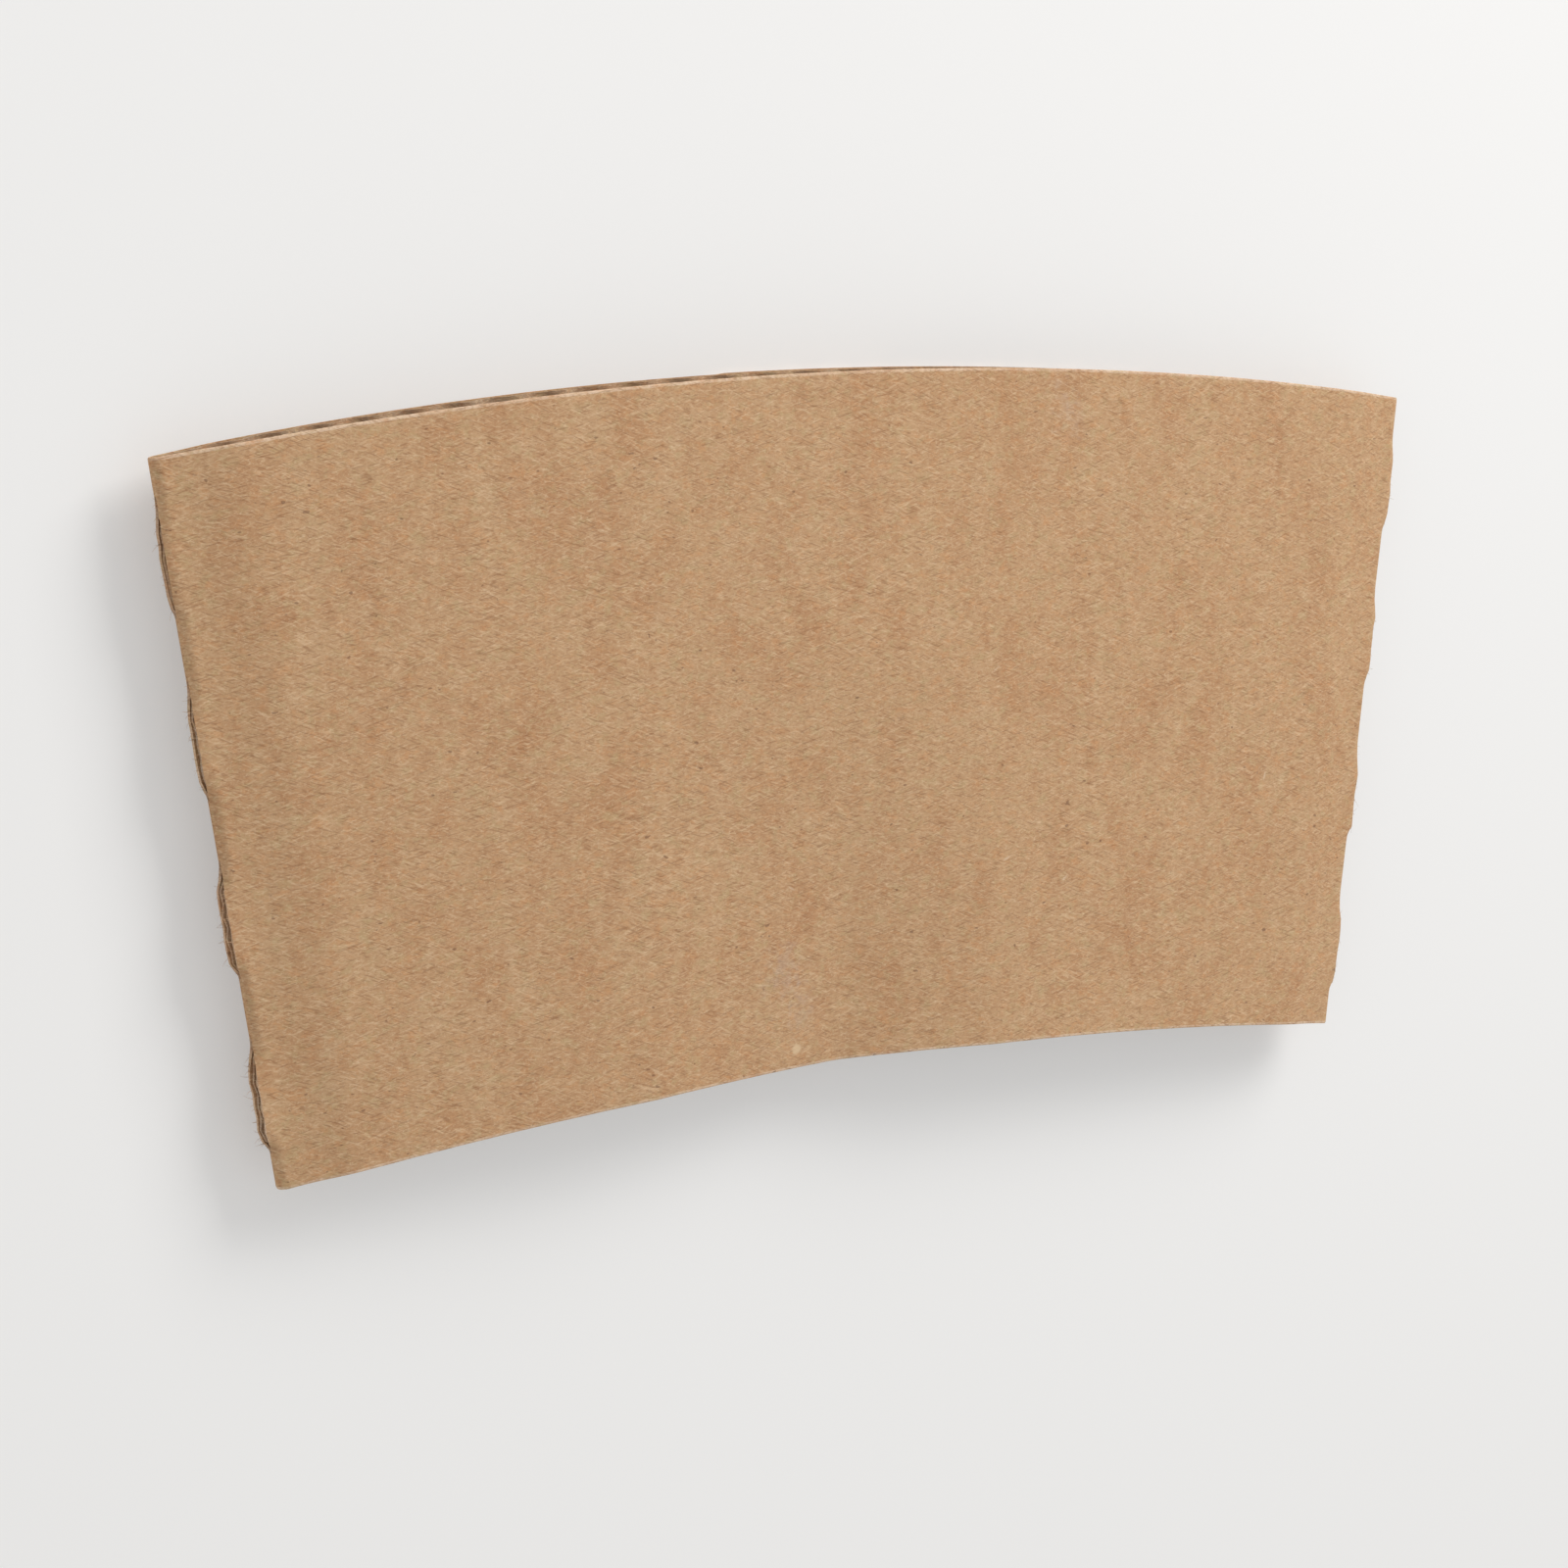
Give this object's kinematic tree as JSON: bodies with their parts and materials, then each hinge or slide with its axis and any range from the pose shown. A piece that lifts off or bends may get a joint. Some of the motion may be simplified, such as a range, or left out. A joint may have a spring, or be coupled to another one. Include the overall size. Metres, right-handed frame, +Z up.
{
  "type": "coffee cup sleeve",
  "caption": "Arched paper cup sleeve of single-face corrugated board, folded flat at perforated folds and glued at a lap.",
  "frame": {"origin": "under the middle of the folded sleeve, on the surface that it rests on", "axes": "+X across the sleeve towards the outer wing's fold, +Y along the flutes of the plain panel towards the wide edge, +Z up out of the plain panel"},
  "size_m": [0.129, 0.0641, 0.0087],
  "materials": {
    "kraft_board": "matt uncoated kraft"
  },
  "bodies": {
    "root": {"sleeve": "kraft_board"}
  },
  "joints": []
}
